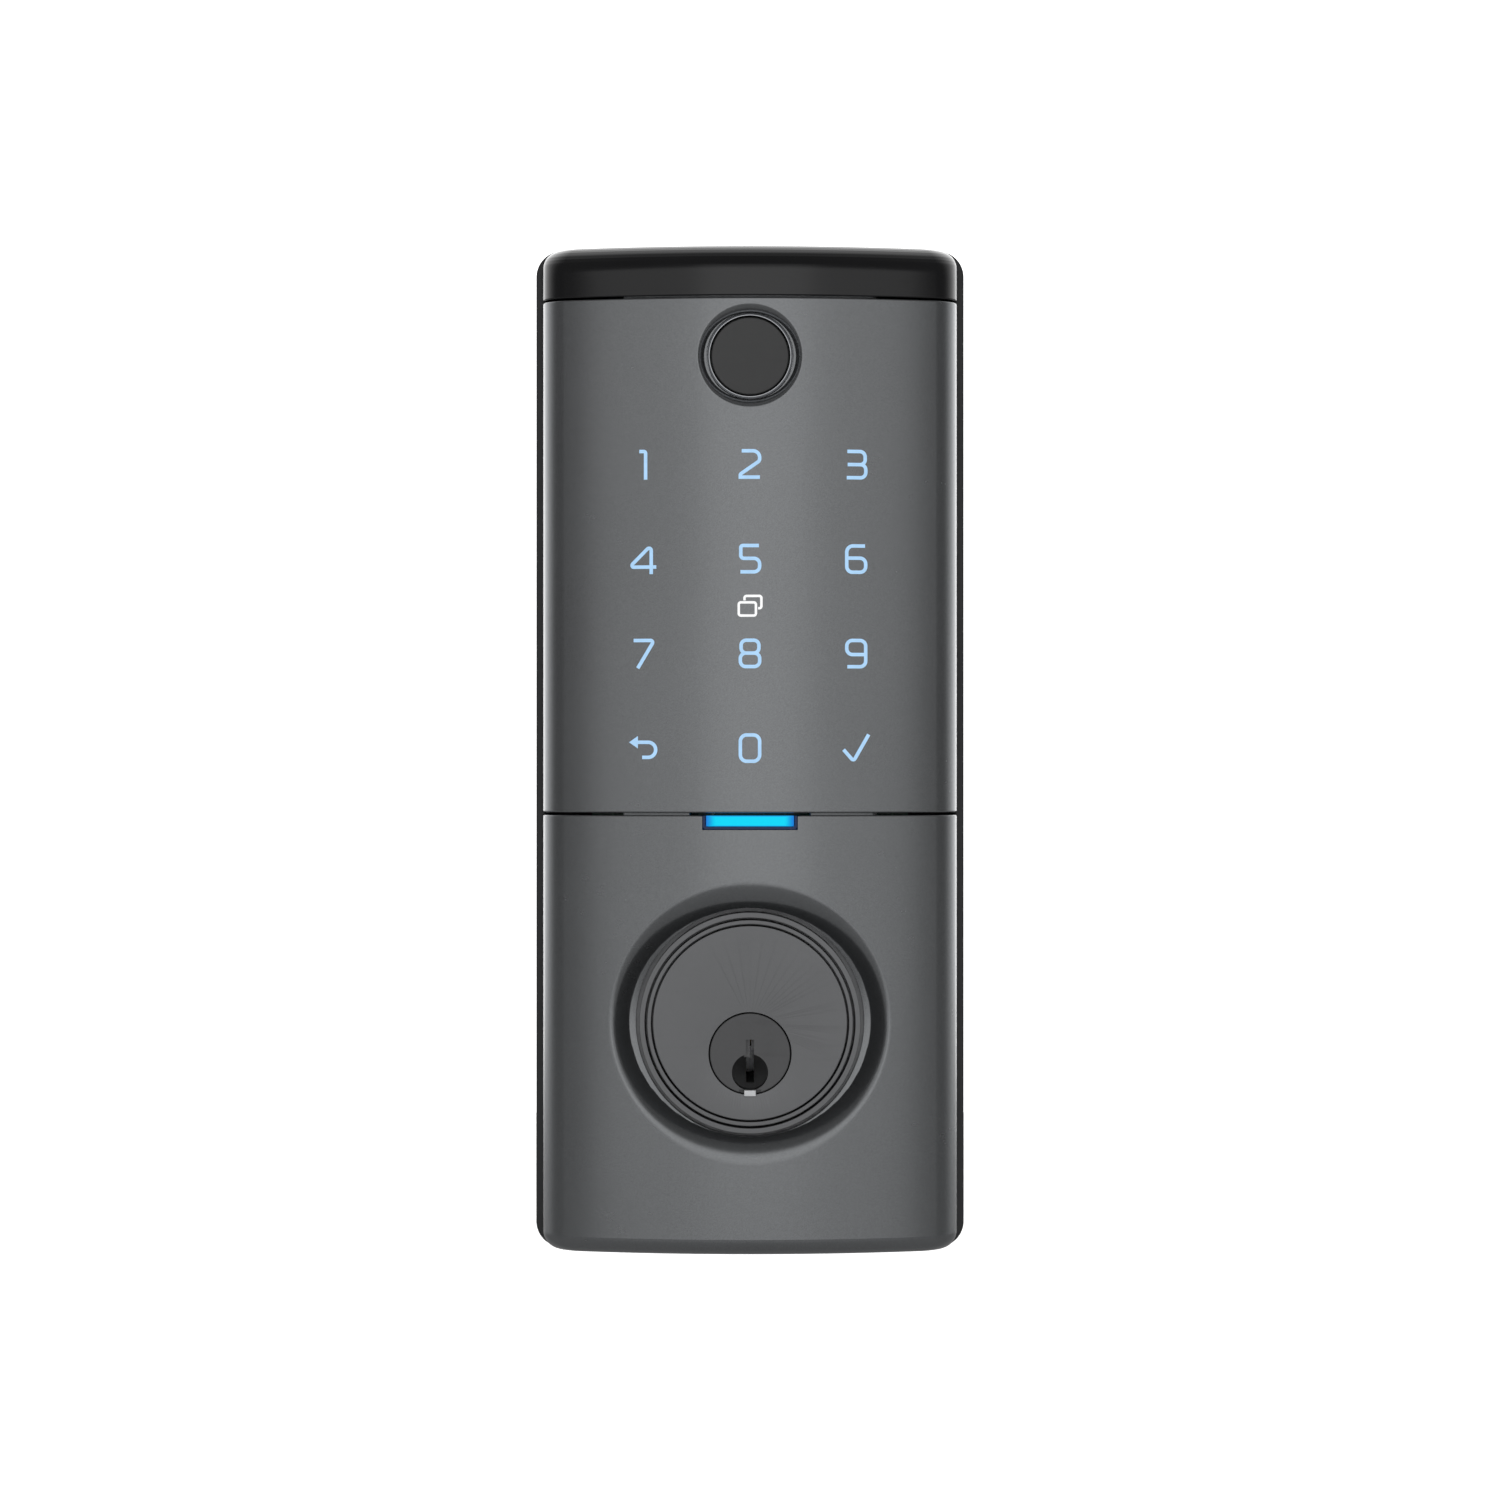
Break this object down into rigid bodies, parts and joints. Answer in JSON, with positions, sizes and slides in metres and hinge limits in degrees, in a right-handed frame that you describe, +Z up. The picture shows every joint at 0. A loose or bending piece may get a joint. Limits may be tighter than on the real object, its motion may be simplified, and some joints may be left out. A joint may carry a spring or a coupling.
{
  "type": "keypad smart lock",
  "caption": "Outdoor unit of a deadbolt with touch keypad, fingerprint reader, status light bar and a key cylinder with turning plug.",
  "frame": {"origin": "on the key plug's axis, in the plane of the door's outer face", "axes": "+Z up, +X to the right of someone facing the keypad, +Y into the door; the front faces -Y"},
  "size_m": [0.0686, 0.0845, 0.1598],
  "materials": {
    "satin_grey_paint": "satin dark grey metallic paint",
    "gloss_black": "polished black",
    "matt_black": "fine-grained dark moulding",
    "cylinder_grey": "satin grey plating",
    "plug_grey": "matt grey plating",
    "sensor_dark": "smooth dark coating",
    "ring_silver": "bright thin ring",
    "bezel_blue": "dark blue frame",
    "tab_silver": "bright satin",
    "brass": "machined",
    "steel": "bright zinc-plated steel",
    "zinc_plate": "pressed zinc-plated sheet",
    "spring_steel": "drawn wire",
    "circuit_board": "green solder mask",
    "white_plastic": "moulded white plastic",
    "black_component": "moulded black plastic",
    "black_rubber": "soft matt rubber",
    "copper": "etched copper track",
    "lens_cyan": "lit translucent light bar"
  },
  "bodies": {
    "lock_unit": {"keypad_panel": "satin_grey_paint", "lower_cover": "satin_grey_paint", "top_cap": "gloss_black", "rear_case": "matt_black", "fingerprint_holder": "matt_black", "cylinder_body": "cylinder_grey", "cylinder_collar": "cylinder_grey", "collar_trim_ring": "cylinder_grey", "fingerprint_sensor": "sensor_dark", "fingerprint_ring": "ring_silver", "light_bar_lens": "lens_cyan", "light_bar_bezel": "bezel_blue", "spring_cover": "brass", "shield_can": "steel", "usb_socket": "steel", "post_left": "steel", "post_right": "steel", "case_screw_1": "steel", "case_screw_2": "steel", "case_screw_3": "steel", "case_screw_4": "steel", "case_screw_5": "steel", "case_screw_6": "steel", "board_screw_1": "steel", "board_screw_2": "steel", "cylinder_screw_1": "steel", "cylinder_screw_2": "steel", "mounting_plate": "zinc_plate", "pin_spring_1": "spring_steel", "pin_spring_2": "spring_steel", "pin_spring_3": "spring_steel", "pin_spring_4": "spring_steel", "pin_spring_5": "spring_steel", "main_board": "circuit_board", "touch_board": "circuit_board", "fingerprint_board": "circuit_board", "light_bar_board": "circuit_board", "usb_board": "circuit_board", "light_guide": "white_plastic", "board_connector": "white_plastic", "cable_socket": "white_plastic", "buzzer": "black_component", "gasket": "black_rubber", "cable_grommet": "black_rubber", "nfc_antenna": "copper"},
    "plug": {"plug": "plug_grey", "plug_cap": "brass", "keyway_tab": "tab_silver"},
    "tailpiece": {"tailpiece": "steel"},
    "charge_port_cover": {"usb_cover": "black_rubber"},
    "key_pin_1": {"key_pin_1": "brass"},
    "driver_pin_1": {"driver_pin_1": "steel"},
    "key_pin_2": {"key_pin_2": "brass"},
    "driver_pin_2": {"driver_pin_2": "steel"},
    "key_pin_3": {"key_pin_3": "brass"},
    "driver_pin_3": {"driver_pin_3": "steel"},
    "key_pin_4": {"key_pin_4": "brass"},
    "driver_pin_4": {"driver_pin_4": "steel"},
    "key_pin_5": {"key_pin_5": "brass"},
    "driver_pin_5": {"driver_pin_5": "steel"}
  },
  "joints": [
    {"name": "charge_port_cover_swing", "type": "hinge", "parent": "lock_unit", "child": "charge_port_cover", "pos_m": [0, -0.0048, -0.03105], "axis": [1, 0, 0], "range_deg": [0, 90]},
    {"name": "cylinder_plug_turn", "type": "hinge", "parent": "lock_unit", "child": "plug", "pos_m": [0, 0, 0], "axis": [0, 1, 0], "range_deg": [-90, 90]},
    {"name": "cylinder_tailpiece_turn", "type": "hinge", "parent": "plug", "child": "tailpiece", "pos_m": [0, 0.0045, 0], "axis": [0, 1, 0], "range_deg": [0, 90]},
    {"name": "driver_pin_1_lift", "type": "slide", "parent": "lock_unit", "child": "driver_pin_1", "axis": [0, 0, 1], "range_m": [0, 0.0022], "stiffness_N_per_m": 50, "springref_m": -0.004, "deforming": ["pin_spring_1"]},
    {"name": "driver_pin_2_lift", "type": "slide", "parent": "lock_unit", "child": "driver_pin_2", "axis": [0, 0, 1], "range_m": [0, 0.0022], "stiffness_N_per_m": 50, "springref_m": -0.004, "deforming": ["pin_spring_2"]},
    {"name": "driver_pin_3_lift", "type": "slide", "parent": "lock_unit", "child": "driver_pin_3", "axis": [0, 0, 1], "range_m": [0, 0.0022], "stiffness_N_per_m": 50, "springref_m": -0.004, "deforming": ["pin_spring_3"]},
    {"name": "driver_pin_4_lift", "type": "slide", "parent": "lock_unit", "child": "driver_pin_4", "axis": [0, 0, 1], "range_m": [0, 0.0022], "stiffness_N_per_m": 50, "springref_m": -0.004, "deforming": ["pin_spring_4"]},
    {"name": "driver_pin_5_lift", "type": "slide", "parent": "lock_unit", "child": "driver_pin_5", "axis": [0, 0, 1], "range_m": [0, 0.0022], "stiffness_N_per_m": 50, "springref_m": -0.004, "deforming": ["pin_spring_5"]},
    {"name": "key_pin_1_lift", "type": "slide", "parent": "plug", "child": "key_pin_1", "axis": [0, 0, 1], "range_m": [0, 0.00175]},
    {"name": "key_pin_2_lift", "type": "slide", "parent": "plug", "child": "key_pin_2", "axis": [0, 0, 1], "range_m": [0, 0.00105]},
    {"name": "key_pin_3_lift", "type": "slide", "parent": "plug", "child": "key_pin_3", "axis": [0, 0, 1], "range_m": [0, 0.00145]},
    {"name": "key_pin_4_lift", "type": "slide", "parent": "plug", "child": "key_pin_4", "axis": [0, 0, 1], "range_m": [0, 0.00075]},
    {"name": "key_pin_5_lift", "type": "slide", "parent": "plug", "child": "key_pin_5", "axis": [0, 0, 1], "range_m": [0, 0.00165]}
  ]
}
